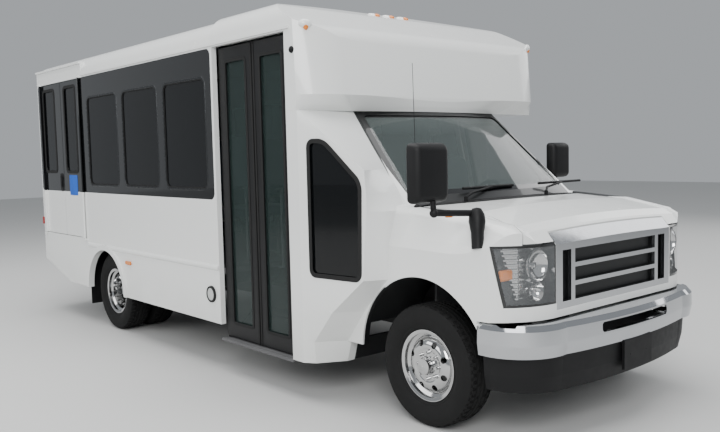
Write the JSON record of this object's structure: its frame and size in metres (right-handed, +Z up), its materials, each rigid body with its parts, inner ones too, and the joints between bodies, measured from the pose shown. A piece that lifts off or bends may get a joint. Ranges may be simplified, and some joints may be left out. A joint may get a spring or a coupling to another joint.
{
  "type": "minibus",
  "caption": "Shuttle minibus on a cutaway van chassis with glazed double entrance doors, side lift doors, roof cap, chrome front and twin rear wheels.",
  "frame": {"origin": "on the ground, mid-length and mid-width of the whole vehicle", "axes": "+X forward, +Y to the left, +Z up"},
  "size_m": [6.577, 2.72, 2.742],
  "materials": {
    "white_paint": "gloss",
    "chassis_black": "satin",
    "tinted_glass": "tinted",
    "clear_glass": "clear",
    "black_plastic": "matt",
    "bright": "polished",
    "tyre": "matt",
    "lamp": "clear lens",
    "red_lamp": "gloss",
    "seat_fabric": "woven",
    "grey_floor": "ribbed",
    "dark_frame": "anodised",
    "steel": "raw",
    "iron": "rough"
  },
  "bodies": {
    "chassis": {"bumper_valance": "black_plastic", "cab_floor": "grey_floor", "cab_shell": "white_paint", "cowl": "black_plastic", "dashboard": "black_plastic", "driveshaft": "steel", "engine_block": "iron", "entry_steps": "grey_floor", "exhaust": "steel", "fender_left": "white_paint", "fender_right": "white_paint", "floor": "grey_floor", "frame_rails": "chassis_black", "front_axle": "iron", "front_bumper": "bright", "fuel_tank": "black_plastic", "grille": "bright", "headlamps": "lamp", "leaf_springs": "chassis_black", "left_wall": "white_paint", "lift_surround": "white_paint", "mirror_right": "black_plastic", "mud_flaps": "black_plastic", "nose_panel": "white_paint", "rear_axle": "iron", "rear_bumper": "black_plastic", "rear_wall": "white_paint", "right_wall": "white_paint", "roof": "white_paint", "roof_cap": "white_paint", "seats": "seat_fabric", "side_glass": "tinted_glass", "steering_wheel": "black_plastic", "tail_lamps": "red_lamp", "transition_panel": "white_paint", "trim_rails": "white_paint", "wheel_boxes": "steel", "windshield": "clear_glass"},
    "knuckle_left": {"knuckle_left": "iron"},
    "knuckle_right": {"knuckle_right": "iron"},
    "front_wheel_left": {"front_rim_left": "bright", "front_tyre_left": "tyre"},
    "front_wheel_right": {"front_rim_right": "bright", "front_tyre_right": "tyre"},
    "rear_wheels_left": {"rear_rims_left": "bright", "rear_tyres_left": "tyre"},
    "rear_wheels_right": {"rear_rims_right": "bright", "rear_tyres_right": "tyre"},
    "entrance_rear": {"entrance_rear_leaf": "dark_frame", "entrance_rear_glass": "clear_glass"},
    "entrance_front": {"entrance_front_leaf": "dark_frame", "entrance_front_glass": "clear_glass"},
    "lift_rear": {"lift_rear_leaf": "white_paint", "lift_rear_glass": "tinted_glass"},
    "lift_front": {"lift_front_leaf": "white_paint", "lift_front_glass": "tinted_glass"},
    "driver_side": {"driver_door": "white_paint", "driver_glass": "clear_glass", "mirror_left": "black_plastic"},
    "hood_panel": {"hood": "white_paint"}
  },
  "joints": [
    {"name": "steer_left", "type": "hinge", "parent": "chassis", "child": "knuckle_left", "pos_m": [2.4535, 0.76, 0.37], "axis": [0, 0, 1], "range_deg": [-32, 32]},
    {"name": "steer_right", "type": "hinge", "parent": "chassis", "child": "knuckle_right", "pos_m": [2.4535, -0.76, 0.37], "axis": [0, 0, 1], "range_deg": [-32, 32]},
    {"name": "roll_front_left", "type": "hinge", "parent": "knuckle_left", "child": "front_wheel_left", "pos_m": [2.4535, 0.866, 0.37], "axis": [0, 1, 0], "continuous": true},
    {"name": "roll_front_right", "type": "hinge", "parent": "knuckle_right", "child": "front_wheel_right", "pos_m": [2.4535, -0.866, 0.37], "axis": [0, 1, 0], "continuous": true},
    {"name": "roll_rear_left", "type": "hinge", "parent": "chassis", "child": "rear_wheels_left", "pos_m": [-1.5595, 0.905, 0.37], "axis": [0, 1, 0], "continuous": true},
    {"name": "roll_rear_right", "type": "hinge", "parent": "chassis", "child": "rear_wheels_right", "pos_m": [-1.5595, -0.905, 0.37], "axis": [0, 1, 0], "continuous": true},
    {"name": "entrance_rear_swing", "type": "hinge", "parent": "chassis", "child": "entrance_rear", "pos_m": [0.5615, -1.16, 1.36], "axis": [0, 0, -1], "range_deg": [0, 90]},
    {"name": "entrance_front_swing", "type": "hinge", "parent": "chassis", "child": "entrance_front", "pos_m": [1.4485, -1.16, 1.36], "axis": [0, 0, 1], "range_deg": [0, 90]},
    {"name": "lift_rear_swing", "type": "hinge", "parent": "chassis", "child": "lift_rear", "pos_m": [-3.0945, -1.233, 1.65], "axis": [0, 0, -1], "range_deg": [0, 160]},
    {"name": "lift_front_swing", "type": "hinge", "parent": "chassis", "child": "lift_front", "pos_m": [-1.9985, -1.233, 1.65], "axis": [0, 0, 1], "range_deg": [0, 160]},
    {"name": "driver_door_swing", "type": "hinge", "parent": "chassis", "child": "driver_side", "pos_m": [2.1475, 1.005, 1.1], "axis": [0, 0, -1], "range_deg": [0, 68]},
    {"name": "hood_lift", "type": "hinge", "parent": "chassis", "child": "hood_panel", "pos_m": [2.3035, 0, 1.29], "axis": [0, -1, 0], "range_deg": [0, 50]}
  ],
  "couplings": [
    {"joint": "steer_right", "follows": "steer_left", "ratio": 1},
    {"joint": "entrance_front_swing", "follows": "entrance_rear_swing", "ratio": 1}
  ]
}
